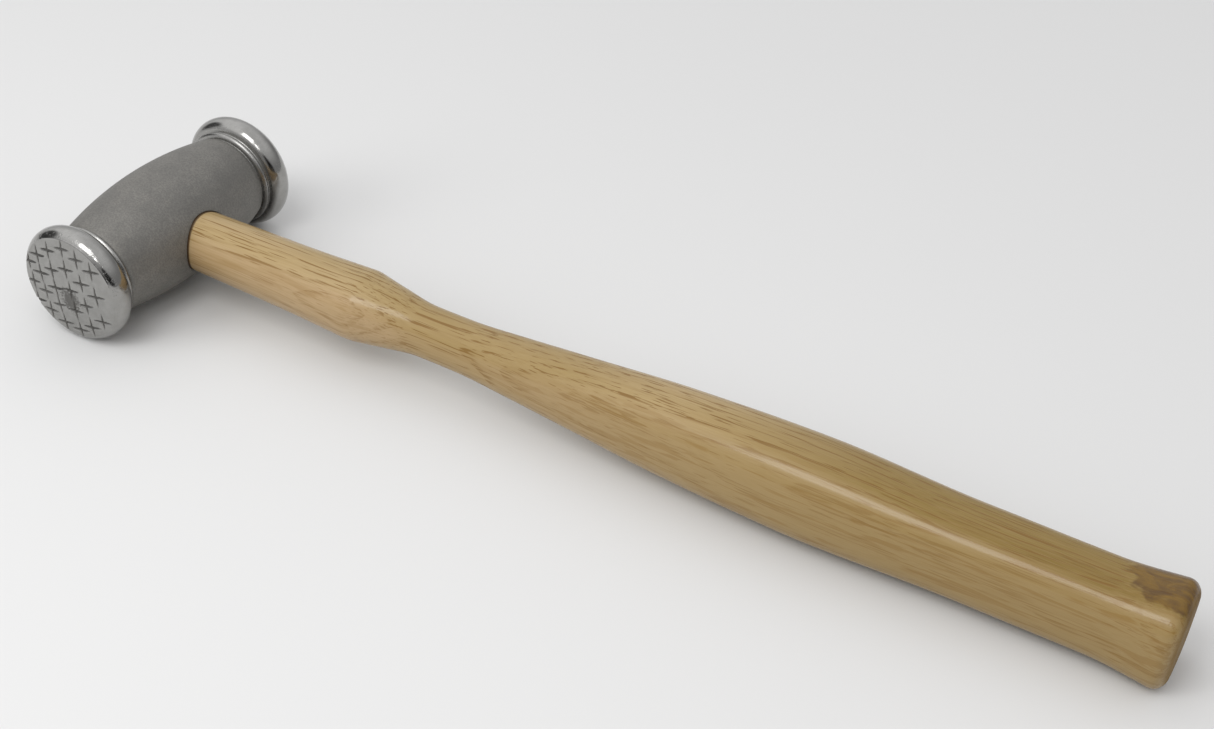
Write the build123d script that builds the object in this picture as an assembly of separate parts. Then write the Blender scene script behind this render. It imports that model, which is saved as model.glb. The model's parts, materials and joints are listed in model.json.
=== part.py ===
from build123d import *
import math
import os

os.makedirs("parts", exist_ok=True)

# A double-faced texturing hammer, lying on its side on a bench. Lengths are millimetres.
# It is shaped with the handle's axis on X (the butt at +X), the head's axis on Y, and the
# origin where the two axes cross. lay_on_bench() then tips it a little, so that both flanges
# and the butt touch the bench, and puts the origin under the middle of its box.

# Head: one turned steel piece, mirrored about its middle
HEAD_LENGTH = 60.0
DOME_RISE = 0.5             # height of the striking face's middle over its edge
FACE_RADIUS = 11.9          # edge of the striking face
RIM_RADIUS = 13.2           # widest part of the polished flange
RIM_WIDEST_Y = 26.8         # its distance from the head's middle
RIM_BACK_RADIUS = 11.9      # where the rounded rim runs into the hollow behind it
RIM_BACK_Y = 24.2
COVE_RADIUS = 10.8          # floor of that hollow
COVE_Y = 23.75
BEAD_RADIUS = 11.2          # small polished ring beside the barrel
BEAD_Y = 23.1
BEAD_FOOT_Y = 22.4
GROOVE_RADIUS = 10.05       # narrow cut that parts the ring from the barrel
GROOVE_Y = 22.2
BARREL_END_RADIUS = 10.3
BARREL_END_Y = 22.0
BARREL_RADIUS = 12.95       # middle of the bulging barrel

# Cross marks chiselled in both faces: each is two boat-shaped strokes, in upright columns
STROKE_LENGTH = 5.0
STROKE_WIDTH = 0.6
STROKE_DEPTH = 0.35
STROKE_SKEW = 3.0           # the two strokes of a cross miss a right angle by this, in degrees
CUTTER_STAND = 0.15         # how far a cutter stands out of the face
COLUMNS = [                 # (across the face, place of its first mark, pitch, number of marks)
    (-10.3, 4.5, 4.7, 3),
    (-7.3, 6.6, 4.5, 4),
    (-3.7, 8.6, 4.5, 5),
    (0.4, 9.7, 4.9, 5),
    (4.0, 8.0, 5.6, 4),
    (7.5, 5.9, 6.1, 3),
]
NEAR_FACE_TURN = 8.0        # of the columns, in degrees
FAR_FACE_TURN = -11.0
STRAY = 0.25                # how far a hand-placed mark strays from its place
STRAY_TURN = 4.0            # and how far it turns, in degrees

# Eye: the oval hole through the head, narrowest inside. (x, half width, half height)
TENON_GAP = 0.05            # between the tenon and the eye
SHAFT_X = 15.0              # just outside the eye's mouth, where the shaft takes over
EYE = [(-SHAFT_X, 7.5, 7.7), (-6.0, 7.0, 7.0), (3.0, 6.6, 6.5), (SHAFT_X, 6.95, 6.75)]

# Handle: slices along its axis. (x, half width, half height, squareness of the slice)
SHOULDER_X = 54.0
BUTT_X = 230.5
SHAFT = [
    (SHAFT_X, 6.95 - TENON_GAP, 6.75 - TENON_GAP, 2.0),
    (35.0, 7.1, 7.1, 2.1),
    (SHOULDER_X, 8.0, 7.3, 2.3),
]
GRIP = [
    (SHOULDER_X, 8.0, 7.3, 2.3),
    (62.0, 6.4, 6.35, 2.3),
    (70.0, 5.3, 5.4, 2.3),
    (79.0, 5.2, 5.5, 2.3),
    (92.0, 5.8, 6.3, 2.4),
    (105.0, 6.6, 7.3, 2.5),
    (130.0, 8.2, 9.0, 2.6),
    (158.0, 9.2, 9.7, 2.7),
    (190.0, 8.3, 8.75, 2.9),
    (215.0, 8.05, 8.75, 3.0),
    (BUTT_X, 9.1, 9.9, 3.1),
]
BUTT_EDGE_RADIUS = 3.0
TENON_PROUD = 0.5           # height of the tenon's end over the barrel

# Wedges driven into the tenon's end: a wood one along the head, a steel one across it
KERF_END_X = 7.0
KERF_THICK = 1.0
WOOD_WEDGE_TIP_X = 4.0
WOOD_WEDGE_TOP_THICK = 2.8
STEEL_WEDGE_WIDTH = 9.5
STEEL_WEDGE_TIP_X = -4.5
STEEL_WEDGE_TOP_THICK = 2.2
STEEL_WEDGE_TIP_THICK = 0.5
BARB_PITCH = 1.8
BARB_COUNT = 4
BARB_DEPTH = 0.2
CUT_BACK_X = -20.0          # clear of the tenon's end

SLICE_STEP = 8.0
SHOULDER_SLICE_STEP = 2.0   # slices close to the shoulder keep its corner crisp


def smooth(x, stations, column):
    """The stations' values joined by a curve that never swings past them."""
    xs = [s[0] for s in stations]
    vs = [s[column] for s in stations]
    slopes = [(vs[i + 1] - vs[i]) / (xs[i + 1] - xs[i]) for i in range(len(xs) - 1)]
    tangents = [slopes[0]]
    for before, after in zip(slopes, slopes[1:]):
        turns_back = before * after <= 0
        tangents.append(0.0 if turns_back else 2 * before * after / (before + after))
    tangents.append(slopes[-1])
    i = 0
    while i < len(xs) - 2 and x > xs[i + 1]:
        i += 1
    width = xs[i + 1] - xs[i]
    t = (x - xs[i]) / width
    start = vs[i] * (1 + 2 * t) * (1 - t) ** 2 + tangents[i] * width * t * (1 - t) ** 2
    end = vs[i + 1] * (3 - 2 * t) * t ** 2 - tangents[i + 1] * width * (1 - t) * t ** 2
    return start + end


def slice_face(x, half_width, half_height, squareness=2.0):
    """A slice across the handle at x. Squareness 2 is an ellipse, more is a rounded square."""
    corner = 0.5 ** (1 / squareness)            # how far out the slice's diagonal reaches
    pull = (corner - 0.5) * 8 / 3               # of the curve's handles that take it there
    quarters = []
    for side, top in ((1, 1), (-1, 1), (-1, -1), (1, -1)):
        flank = (x, side * half_width, 0)
        flank_pull = (x, side * half_width, top * half_height * pull)
        crest_pull = (x, side * half_width * pull, top * half_height)
        crest = (x, 0, top * half_height)
        points = [flank, flank_pull, crest_pull, crest]
        quarters.append(Bezier(*points if side == top else reversed(points)))
    return make_face(quarters)


def slice_at(x, stations):
    """The slice at x, its sizes blended from the stations."""
    columns = range(1, len(stations[0]))
    return slice_face(x, *(smooth(x, stations, column) for column in columns))


def evenly(first, last):
    """Places from first up to, but not at, last, about a slice's step apart."""
    count = round((last - first) / SLICE_STEP)
    return [first + (last - first) * k / count for k in range(count)]


def arc_middle(start, end, bulge):
    """The point beside the middle of a chord, bulge away to its left."""
    (x1, y1), (x2, y2) = start, end
    length = math.hypot(x2 - x1, y2 - y1)
    return (
        (x1 + x2) / 2 - bulge * (y2 - y1) / length,
        (y1 + y2) / 2 + bulge * (x2 - x1) / length,
    )


def dome_radius():
    """Radius of the sphere that the striking face is part of."""
    return (FACE_RADIUS ** 2 + DOME_RISE ** 2) / (2 * DOME_RISE)


def half_head_outline():
    """Edges from the barrel's middle to the far face's centre, as (radius, y)."""
    middle = (BARREL_RADIUS, 0)
    barrel_end = (BARREL_END_RADIUS, BARREL_END_Y)
    groove = (GROOVE_RADIUS, GROOVE_Y)
    bead_foot = (GROOVE_RADIUS, BEAD_FOOT_Y)
    bead_top = (BEAD_RADIUS, BEAD_Y)
    cove = (COVE_RADIUS, COVE_Y)
    rim_back = (RIM_BACK_RADIUS, RIM_BACK_Y)
    rim = (RIM_RADIUS, RIM_WIDEST_Y)
    face_edge = (FACE_RADIUS, HEAD_LENGTH / 2 - DOME_RISE)
    centre = (0, HEAD_LENGTH / 2)
    bulge = BARREL_RADIUS - BARREL_END_RADIUS
    arc_radius = (BARREL_END_Y ** 2 + bulge ** 2) / (2 * bulge)
    half_y = BARREL_END_Y / 2
    quarter = (BARREL_RADIUS - arc_radius + math.sqrt(arc_radius ** 2 - half_y ** 2), half_y)
    half_r = FACE_RADIUS / 2
    dome_sag = dome_radius() - math.sqrt(dome_radius() ** 2 - half_r ** 2)
    dome_quarter = (half_r, HEAD_LENGTH / 2 - dome_sag)
    return [
        ThreePointArc(middle, quarter, barrel_end),
        Line(barrel_end, groove),
        Line(groove, bead_foot),
        ThreePointArc(bead_foot, arc_middle(bead_foot, bead_top, 0.25), bead_top),
        ThreePointArc(bead_top, arc_middle(bead_top, cove, 0.08), cove),
        ThreePointArc(cove, arc_middle(cove, rim_back, -0.12), rim_back),
        ThreePointArc(rim_back, rim, face_edge),
        ThreePointArc(face_edge, dome_quarter, centre),
    ]


def head_blank():
    """The turned head before its eye and its marks are cut."""
    axis_line = Line((0, HEAD_LENGTH / 2), (0, 0))
    spoke = Line((0, 0), (BARREL_RADIUS, 0))
    far_half = revolve(make_face([*half_head_outline(), axis_line, spoke]), Axis.Y)
    return far_half + mirror(far_half, Plane.XZ)


def eye_cutter():
    """The oval tapered hole, longer than the head is thick."""
    return loft([slice_at(x, EYE) for x in [*evenly(-SHAFT_X, SHAFT_X), SHAFT_X]])


def stray(index, phase):
    """A fixed uneven number between -1 and 1 that stands for the hand's error."""
    return math.sin(12.9898 * index + 4.137 * phase) * math.cos(7.233 * index + phase)


def mark_places(side, turn, phase):
    """Centres and angles of one face's crosses: uneven columns, none quite in line."""
    a = math.radians(turn)
    places = []
    for column, (column_across, first, pitch, count) in enumerate(COLUMNS):
        for step in range(count):
            index = 7 * column + step
            across = -side * column_across + STRAY * stray(index, phase)
            along = first - pitch * step + STRAY * stray(index, phase + 1.7)
            x = across * math.cos(a) - along * math.sin(a)
            z = across * math.sin(a) + along * math.cos(a)
            places.append((x, z, turn + STRAY_TURN * stray(index, phase + 3.1)))
    return places


def stroke_cutter(turn):
    """An upside-down pyramid that cuts one stroke, pointed at both ends, in a level face."""
    growth = 1 + CUTTER_STAND / STROKE_DEPTH
    half_length = growth * STROKE_LENGTH / 2
    half_width = growth * STROKE_WIDTH / 2
    corners = [
        (half_length, 0, CUTTER_STAND),
        (-half_length, 0, CUTTER_STAND),
        (0, half_width, CUTTER_STAND),
        (0, -half_width, CUTTER_STAND),
        (0, 0, -STROKE_DEPTH),
    ]
    return Rot(0, 0, turn) * ConvexPolyhedron(corners)


def mark_cutters(side, turn, phase):
    """The crosses of one face; side is -1 for the near face and +1 for the far one."""
    cross = stroke_cutter(STROKE_SKEW / 2) + stroke_cutter(90 - STROKE_SKEW / 2)
    cutters = []
    for x, z, angle in mark_places(side, turn, phase):
        outward = Vector(x, side * math.sqrt(dome_radius() ** 2 - x * x - z * z), z)
        on_face = outward + Vector(0, side * (HEAD_LENGTH / 2 - dome_radius()), 0)
        a = math.radians(angle)
        along = Vector(math.cos(a), 0, math.sin(a))
        seat = Plane(origin=on_face, x_dir=along, z_dir=outward)
        cutters.append(seat.location * cross)
    return cutters


def make_head():
    head = head_blank() - eye_cutter()
    head = head - mark_cutters(-1, NEAR_FACE_TURN, 0.0)
    return head - mark_cutters(1, FAR_FACE_TURN, 2.0)


def waste_past_crown():
    """What is sanded off the tenon's end, down to a barrel a little fatter than the head's."""
    near_end = (BARREL_END_RADIUS + TENON_PROUD, -BARREL_END_Y)
    far_end = (BARREL_END_RADIUS + TENON_PROUD, BARREL_END_Y)
    outline = [
        ThreePointArc(near_end, (BARREL_RADIUS + TENON_PROUD, 0), far_end),
        Polyline(far_end, (0, BARREL_END_Y), (0, -BARREL_END_Y), near_end),
    ]
    crown = revolve(make_face(outline), Axis.Y)
    block = Box(-CUT_BACK_X, BARREL_END_Y, BARREL_END_Y, align=(Align.MAX, Align.CENTER, Align.CENTER))
    return block - crown


def handle_slice(x):
    """A slice of the tenon, of the shaft up to the shoulder, or of the grip past it."""
    if x < SHAFT_X:
        snug = [(at, width - TENON_GAP, height - TENON_GAP, 2.0) for at, width, height in EYE]
        return slice_at(x, snug)
    return slice_at(x, SHAFT if x < SHOULDER_X else GRIP)


def handle_blank():
    """The whole handle before its end is split and wedged."""
    places = evenly(-SHAFT_X, SHAFT_X) + evenly(SHAFT_X, SHOULDER_X) + evenly(SHOULDER_X, BUTT_X)
    places += [BUTT_X, SHOULDER_X - SHOULDER_SLICE_STEP, SHOULDER_X + SHOULDER_SLICE_STEP]
    blank = loft([handle_slice(x) for x in sorted(places)])
    butt_edges = blank.faces().sort_by(Axis.X)[-1].edges()
    return fillet(butt_edges, BUTT_EDGE_RADIUS) - waste_past_crown()


def taper(tip_x, tip_thick, top_thick):
    """Corners (x, across) of a wedge's side view, running on past the tenon's end."""
    slope = (top_thick - tip_thick) / (tip_x + BARREL_RADIUS)
    back_thick = tip_thick + slope * (tip_x - CUT_BACK_X)
    return [
        (tip_x, tip_thick / 2),
        (CUT_BACK_X, back_thick / 2),
        (CUT_BACK_X, -back_thick / 2),
        (tip_x, -tip_thick / 2),
    ]


def slab(corners, plane, width):
    """A plate of even width whose side view, in the plane, has these corners."""
    outline = make_face(Polyline(*corners, close=True))
    return extrude(plane * outline, width / 2, both=True)


def wood_wedge_blank():
    """Taper that splits the tenon along the head's axis, wider than the tenon."""
    corners = taper(WOOD_WEDGE_TIP_X, KERF_THICK, WOOD_WEDGE_TOP_THICK)
    return slab(corners, Plane.XZ, 4 * SHAFT_X)


def steel_wedge_blank():
    """Taper across the wood wedge, before its barbs are cut."""
    corners = taper(STEEL_WEDGE_TIP_X, STEEL_WEDGE_TIP_THICK, STEEL_WEDGE_TOP_THICK)
    return slab(corners, Plane.XY, STEEL_WEDGE_WIDTH)


def saw_kerf():
    """The end of the tenon's saw cut, past the wood wedge's tip."""
    half = KERF_THICK / 2
    corners = [
        (WOOD_WEDGE_TIP_X, half),
        (KERF_END_X, half),
        (KERF_END_X, -half),
        (WOOD_WEDGE_TIP_X, -half),
    ]
    return slab(corners, Plane.XZ, 4 * SHAFT_X)


def make_handle():
    return handle_blank() - wood_wedge_blank() - saw_kerf() - steel_wedge_blank()


def make_wood_wedge():
    return (wood_wedge_blank() & handle_blank()) - steel_wedge_blank()


def barb_notch(x, side):
    """A saw-tooth nick across one broad face of the steel wedge."""
    depth_per_mm = (STEEL_WEDGE_TOP_THICK - STEEL_WEDGE_TIP_THICK) / 2
    depth_per_mm /= STEEL_WEDGE_TIP_X + BARREL_RADIUS
    face_y = STEEL_WEDGE_TIP_THICK / 2 + depth_per_mm * (STEEL_WEDGE_TIP_X - x)
    corners = [
        (x, side * (face_y - BARB_DEPTH)),
        (x, side * (face_y + BARB_DEPTH)),
        (x + BARB_PITCH * 0.7, side * (face_y + BARB_DEPTH)),
    ]
    return slab(corners, Plane.XY, 2 * STEEL_WEDGE_WIDTH)


def make_steel_wedge():
    top_x = -(BARREL_RADIUS + TENON_PROUD)
    past_top = Pos(top_x, 0, 0) * Box(20, 20, 20, align=(Align.MAX, Align.CENTER, Align.CENTER))
    wedge = steel_wedge_blank() - past_top
    for k in range(BARB_COUNT):
        x = STEEL_WEDGE_TIP_X - BARB_PITCH * (k + 0.8)
        for side in (-1, 1):
            wedge = wedge - barb_notch(x, side)
    return wedge


def lay_on_bench(pieces):
    """Tip the hammer until flanges and butt touch the bench, and centre it over the origin."""
    touch_x = BUTT_X - BUTT_EDGE_RADIUS
    touch_z = smooth(touch_x, GRIP, 2)
    reach = math.hypot(touch_x, touch_z)
    tilt = math.degrees(math.asin(RIM_RADIUS / reach) - math.atan2(touch_z, touch_x))
    tipped = {name: Rot(0, tilt, 0) * piece for name, piece in pieces.items()}
    box = Compound(list(tipped.values())).bounding_box()
    shift = Pos(-(box.min.X + box.max.X) / 2, 0, -box.min.Z)
    print("tilt", round(tilt, 4), "degrees; head's centre at", shift.position)
    return {name: shift * piece for name, piece in tipped.items()}


hammer = lay_on_bench({
    "head": make_head(),
    "handle": make_handle(),
    "wood_wedge": make_wood_wedge(),
    "steel_wedge": make_steel_wedge(),
})
for node, piece in hammer.items():
    export_step(piece, f"parts/{node}.step")
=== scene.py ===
import json
import math

import bmesh
import bpy
import numpy as np
from mathutils import Matrix, Vector, noise


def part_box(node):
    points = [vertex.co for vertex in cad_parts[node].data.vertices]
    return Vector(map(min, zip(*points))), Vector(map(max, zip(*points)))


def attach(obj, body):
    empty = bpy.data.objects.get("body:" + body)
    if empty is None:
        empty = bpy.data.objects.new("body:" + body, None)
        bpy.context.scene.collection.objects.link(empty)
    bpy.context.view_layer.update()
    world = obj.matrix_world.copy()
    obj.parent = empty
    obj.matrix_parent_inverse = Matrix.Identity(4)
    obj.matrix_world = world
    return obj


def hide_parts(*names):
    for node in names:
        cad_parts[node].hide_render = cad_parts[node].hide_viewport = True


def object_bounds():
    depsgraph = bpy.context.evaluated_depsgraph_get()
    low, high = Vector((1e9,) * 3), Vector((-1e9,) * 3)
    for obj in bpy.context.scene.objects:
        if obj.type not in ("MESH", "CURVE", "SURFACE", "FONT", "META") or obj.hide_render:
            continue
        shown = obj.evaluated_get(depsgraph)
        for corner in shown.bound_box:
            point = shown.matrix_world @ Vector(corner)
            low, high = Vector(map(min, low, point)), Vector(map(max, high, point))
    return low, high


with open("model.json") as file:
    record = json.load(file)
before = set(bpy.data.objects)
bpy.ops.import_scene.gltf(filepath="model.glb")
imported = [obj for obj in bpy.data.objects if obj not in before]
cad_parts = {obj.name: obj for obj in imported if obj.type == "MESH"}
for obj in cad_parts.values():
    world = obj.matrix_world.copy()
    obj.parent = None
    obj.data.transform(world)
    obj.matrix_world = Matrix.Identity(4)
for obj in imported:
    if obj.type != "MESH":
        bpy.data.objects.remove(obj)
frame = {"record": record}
cad_low, cad_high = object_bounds()

# A double-faced texturing hammer, lying on its side. Its pieces are shaped in millimetres with
# the handle's axis on X (the butt at +X), the head's axis on Y, and the origin where they cross.
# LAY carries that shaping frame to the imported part: to metres, tipped, its head where CAD's is.
MM = 0.001
handle_axis = next(m for m in frame["record"]["mounts"] if m["name"] == "butt_end")["axis"]
TILT = math.atan2(-handle_axis[2], handle_axis[0])
head_low, head_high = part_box("head")
HEAD_CENTRE = (head_low + head_high) / 2
LAY = Matrix.Translation(HEAD_CENTRE) @ Matrix.Rotation(TILT, 4, "Y") @ Matrix.Scale(MM, 4)

# ---------------------------------------------------------------- sizes, as in the CAD part
# (apart from the strokes: there they are pointed grooves of 5.0 by 0.6, and 0.35 deep)

HEAD_LENGTH = 60.0
DOME_RISE = 0.5
FACE_RADIUS = 11.9
RIM_RADIUS = 13.2
RIM_WIDEST_Y = 26.8
RIM_BACK_RADIUS = 11.9
RIM_BACK_Y = 24.2
COVE_RADIUS = 10.8
COVE_Y = 23.75
BEAD_RADIUS = 11.2
BEAD_Y = 23.1
BEAD_FOOT_Y = 22.4
GROOVE_RADIUS = 10.05
GROOVE_Y = 22.2
BARREL_END_RADIUS = 10.3
BARREL_END_Y = 22.0
BARREL_RADIUS = 12.95

STROKE_LENGTH = 5.2
STROKE_WIDTH = 0.7
STROKE_DEPTH = 0.3
STROKE_SKEW = 3.0            # degrees by which a cross misses the right angle
COLUMNS = [                  # across the face, place of the first mark, pitch, number of marks
    (-10.3, 4.5, 4.7, 3),
    (-7.3, 6.6, 4.5, 4),
    (-3.7, 8.6, 4.5, 5),
    (0.4, 9.7, 4.9, 5),
    (4.0, 8.0, 5.6, 4),
    (7.5, 5.9, 6.1, 3),
]
NEAR_FACE_TURN = 8.0         # degrees
FAR_FACE_TURN = -11.0
STRAY = 0.25                 # the hand's error in a mark's place, at most
STRAY_TURN = 4.0             # and in its angle

TENON_GAP = 0.05
SHAFT_X = 15.0
# the eye's stations: x, half width, half height; the handle's have the squareness too
EYE = [(-SHAFT_X, 7.5, 7.7), (-6.0, 7.0, 7.0), (3.0, 6.6, 6.5), (SHAFT_X, 6.95, 6.75)]
SHOULDER_X = 54.0
BUTT_X = 230.5
SHAFT = [
    (SHAFT_X, 6.95 - TENON_GAP, 6.75 - TENON_GAP, 2.0),
    (35.0, 7.1, 7.1, 2.1),
    (SHOULDER_X, 8.0, 7.3, 2.3),
]
GRIP = [
    (SHOULDER_X, 8.0, 7.3, 2.3),
    (62.0, 6.4, 6.35, 2.3),
    (70.0, 5.3, 5.4, 2.3),
    (79.0, 5.2, 5.5, 2.3),
    (92.0, 5.8, 6.3, 2.4),
    (105.0, 6.6, 7.3, 2.5),
    (130.0, 8.2, 9.0, 2.6),
    (158.0, 9.2, 9.7, 2.7),
    (190.0, 8.3, 8.75, 2.9),
    (215.0, 8.05, 8.75, 3.0),
    (BUTT_X, 9.1, 9.9, 3.1),
]
BUTT_EDGE_RADIUS = 3.0
TENON_PROUD = 0.5

KERF_THICK = 1.0
KERF_END_X = 7.0
WOOD_WEDGE_TIP_X = 4.0
WOOD_WEDGE_TOP_THICK = 2.8
STEEL_WEDGE_WIDTH = 9.5
STEEL_WEDGE_TIP_X = -4.5
STEEL_WEDGE_TOP_THICK = 2.2
STEEL_WEDGE_TIP_THICK = 0.5
BARB_PITCH = 1.8
BARB_COUNT = 4
BARB_DEPTH = 0.2

# ---------------------------------------------------------------- finer shapes, only for looks

FACE_EDGE_ROUND = 0.25      # rounding where a face meets its flange
FACE_CELLS = 152            # across a face, so that a stroke is four to five cells wide
STRUCK_RINGS = 6            # rings round the face's edge that a stroke can still reach
FADE_INSET = 0.2            # marks start to fade this far inside the face's radius
FADE_WIDTH = 0.7            # and are gone this much further out
RIM_SPOKES = 2 * FACE_CELLS
BARREL_SPOKES = FACE_CELLS
RIM_STEP = 0.2              # between rings along the flange's outline
BARREL_ROWS = 44
PATCH_ROWS = (12, 32)       # barrel rows between which the eye's patch lies
PATCH_SPOKES = BARREL_SPOKES // 4
MOUTH_ROUND = 0.3           # rounding of the eye's mouth
LIP_HEIGHT = 0.11           # of the metal pushed up beside a stroke
LIP_WIDTH = 0.2
NEAR_WAVES = 0.012          # unevenness of the near face's polish
FAR_WAVES = 0.03
SECTION_POINTS = 128        # round the handle
WEDGE_CLEARANCE = 0.07      # dark line round the wedges
CUTTER_END_X = -20.0        # well past the tenon's end
CUTTER_WIDTH = 30.0         # wider than the tenon
SLIVER = 2e-6               # in metres: thinner faces that a cut leaves are dropped


def smooth(x, stations, column):
    """The stations' values joined by a curve that never swings past them."""
    xs = [s[0] for s in stations]
    vs = [s[column] for s in stations]
    slopes = [(vs[i + 1] - vs[i]) / (xs[i + 1] - xs[i]) for i in range(len(xs) - 1)]
    tangents = [slopes[0]]
    for before, after in zip(slopes, slopes[1:]):
        turns_back = before * after <= 0
        tangents.append(0.0 if turns_back else 2 * before * after / (before + after))
    tangents.append(slopes[-1])
    i = 0
    while i < len(xs) - 2 and x > xs[i + 1]:
        i += 1
    width = xs[i + 1] - xs[i]
    t = (x - xs[i]) / width
    start = vs[i] * (1 + 2 * t) * (1 - t) ** 2 + tangents[i] * width * t * (1 - t) ** 2
    end = vs[i + 1] * (3 - 2 * t) * t ** 2 - tangents[i + 1] * width * (1 - t) * t ** 2
    return start + end


class Shell:
    """Points in the shaping frame and the faces between them, on their way to be a mesh."""

    def __init__(self):
        self.points = []
        self.faces = []
        self.slots = []

    def add(self, points):
        first = len(self.points)
        self.points.extend(tuple(float(c) for c in p) for p in points)
        return list(range(first, len(self.points)))

    def face(self, corners, slot=0):
        self.faces.append(tuple(corners))
        self.slots.append(slot)

    def band(self, one, other, slot=0):
        """Four-sided faces between two closed rings with as many points."""
        for k in range(len(one)):
            after = (k + 1) % len(one)
            self.face((one[k], one[after], other[after], other[k]), slot)

    def grow(self, ring, points, slot=0):
        """A new ring of points, with a band between the last ring and it."""
        new = self.add(points)
        self.band(ring, new, slot)
        return new

    def halve(self, fine, coarse, slot=0):
        """Faces between a closed ring and one with half as many points."""
        for k in range(len(coarse)):
            after = (k + 1) % len(coarse)
            left, middle, right = fine[2 * k], fine[2 * k + 1], fine[(2 * k + 2) % len(fine)]
            self.face((left, middle, coarse[k]), slot)
            self.face((middle, right, coarse[after]), slot)
            self.face((middle, coarse[after], coarse[k]), slot)

    def fan(self, ring, centre, slot=0):
        for k in range(len(ring)):
            self.face((ring[k], ring[(k + 1) % len(ring)], centre), slot)

    def piece(self, name, materials):
        """A smooth-shaded object with these materials, in place in the part's frame."""
        mesh = bpy.data.meshes.new(name)
        mesh.from_pydata(self.points, [], self.faces)
        mesh.polygons.foreach_set("material_index", self.slots)
        for material in materials:
            mesh.materials.append(material)
        tidy = bmesh.new()
        tidy.from_mesh(mesh)
        bmesh.ops.recalc_face_normals(tidy, faces=tidy.faces)
        tidy.to_mesh(mesh)
        tidy.free()
        mesh.transform(LAY)
        mesh.polygons.foreach_set("use_smooth", [True] * len(mesh.polygons))
        made = bpy.data.objects.new(name, mesh)
        bpy.context.scene.collection.objects.link(made)
        return made


def cut_out(piece, cutter):
    """Takes the cutter's volume out of the piece, and removes the cutter."""
    boolean = piece.modifiers.new("cut", "BOOLEAN")
    boolean.operation = "DIFFERENCE"
    boolean.solver = "EXACT"
    boolean.object = cutter
    bpy.context.view_layer.update()
    shown = piece.evaluated_get(bpy.context.evaluated_depsgraph_get())
    mesh = bpy.data.meshes.new_from_object(shown)
    piece.modifiers.remove(boolean)
    piece.data = mesh
    bpy.data.objects.remove(cutter)


def sharpen(piece, degrees):
    """Drops slivers left by a cut and shades the piece smooth, apart from edges sharper than this."""
    piece.data.polygons.foreach_set("use_smooth", [True] * len(piece.data.polygons))
    shape = bmesh.new()
    shape.from_mesh(piece.data)
    bmesh.ops.dissolve_degenerate(shape, dist=SLIVER, edges=shape.edges)
    for edge in shape.edges:
        folded = len(edge.link_faces) == 2 and edge.calc_face_angle(0.0) > math.radians(degrees)
        edge.smooth = not folded
    shape.to_mesh(piece.data)
    shape.free()


# ---------------------------------------------------------------- head

def barrel_radius(y):
    bulge = BARREL_RADIUS - BARREL_END_RADIUS
    arc = (BARREL_END_Y ** 2 + bulge ** 2) / (2 * bulge)
    return BARREL_RADIUS - arc + math.sqrt(arc ** 2 - y ** 2)


def dome_height(radius):
    """Distance of a face's point from the head's middle, at this distance from its axis."""
    sphere = (FACE_RADIUS ** 2 + DOME_RISE ** 2) / (2 * DOME_RISE)
    return HEAD_LENGTH / 2 - sphere + math.sqrt(sphere ** 2 - radius ** 2)


def stray(index, phase):
    """A fixed uneven number between -1 and 1 that stands for the hand's error."""
    return math.sin(12.9898 * index + 4.137 * phase) * math.cos(7.233 * index + phase)


def mark_places(side, turn, phase):
    """Centres and angles of one face's crosses: uneven columns, none quite in line."""
    a = math.radians(turn)
    places = []
    for column, (column_across, first, pitch, count) in enumerate(COLUMNS):
        for step in range(count):
            index = 7 * column + step
            across = -side * column_across + STRAY * stray(index, phase)
            along = first - pitch * step + STRAY * stray(index, phase + 1.7)
            x = across * math.cos(a) - along * math.sin(a)
            z = across * math.sin(a) + along * math.cos(a)
            places.append((x, z, turn + STRAY_TURN * stray(index, phase + 3.1)))
    return places


def strokes_of(side, turn, phase):
    """Every stroke of a face: centre, angle, and its own share of the full depth and length."""
    strokes = []
    for number, (x, z, angle) in enumerate(mark_places(side, turn, phase)):
        for leg, lean in enumerate((STROKE_SKEW / 2, 90 - STROKE_SKEW / 2)):
            index = 2 * number + leg
            depth = 0.9 + 0.25 * stray(index, phase + 5.3)
            length = 1 + 0.1 * stray(index, phase + 7.9)
            strokes.append((x, z, math.radians(angle + lean), depth, length))
    return strokes


def chiselled(x, z, strokes):
    """How deep each point is cut, and how high its lip is, for arrays of x and z."""
    cut = np.zeros_like(x)
    lip = np.zeros_like(x)
    for centre_x, centre_z, angle, depth, length in strokes:
        dx = x - centre_x
        dz = z - centre_z
        along = (dx * math.cos(angle) + dz * math.sin(angle)) / (length * STROKE_LENGTH / 2)
        across = np.abs(dz * math.cos(angle) - dx * math.sin(angle))
        boat = np.clip(1 - along ** 2, 0, None)
        half_width = STROKE_WIDTH / 2 * boat ** 0.6 + 1e-6
        inside = np.clip(1 - across / half_width, 0, 1)
        cut = np.maximum(cut, depth * STROKE_DEPTH * boat ** 0.7 * inside ** 0.85)
        beside = np.exp(-(((across - half_width - LIP_WIDTH / 2) / LIP_WIDTH) ** 2))
        lip = np.maximum(lip, LIP_HEIGHT * depth * boat ** 0.5 * beside)
    return cut, np.where(cut > 0, 0, lip)


def waves(x, z, amount, phase):
    """Slow unevenness that hand polishing leaves in the metal."""
    broad = [noise.noise((0.35 * a, 0.35 * b, phase)) for a, b in zip(x, z)]
    close = [noise.noise((0.9 * a, 0.9 * b, phase + 9)) for a, b in zip(x, z)]
    return amount * (np.array(broad) * 1.6 + np.array(close))


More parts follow.
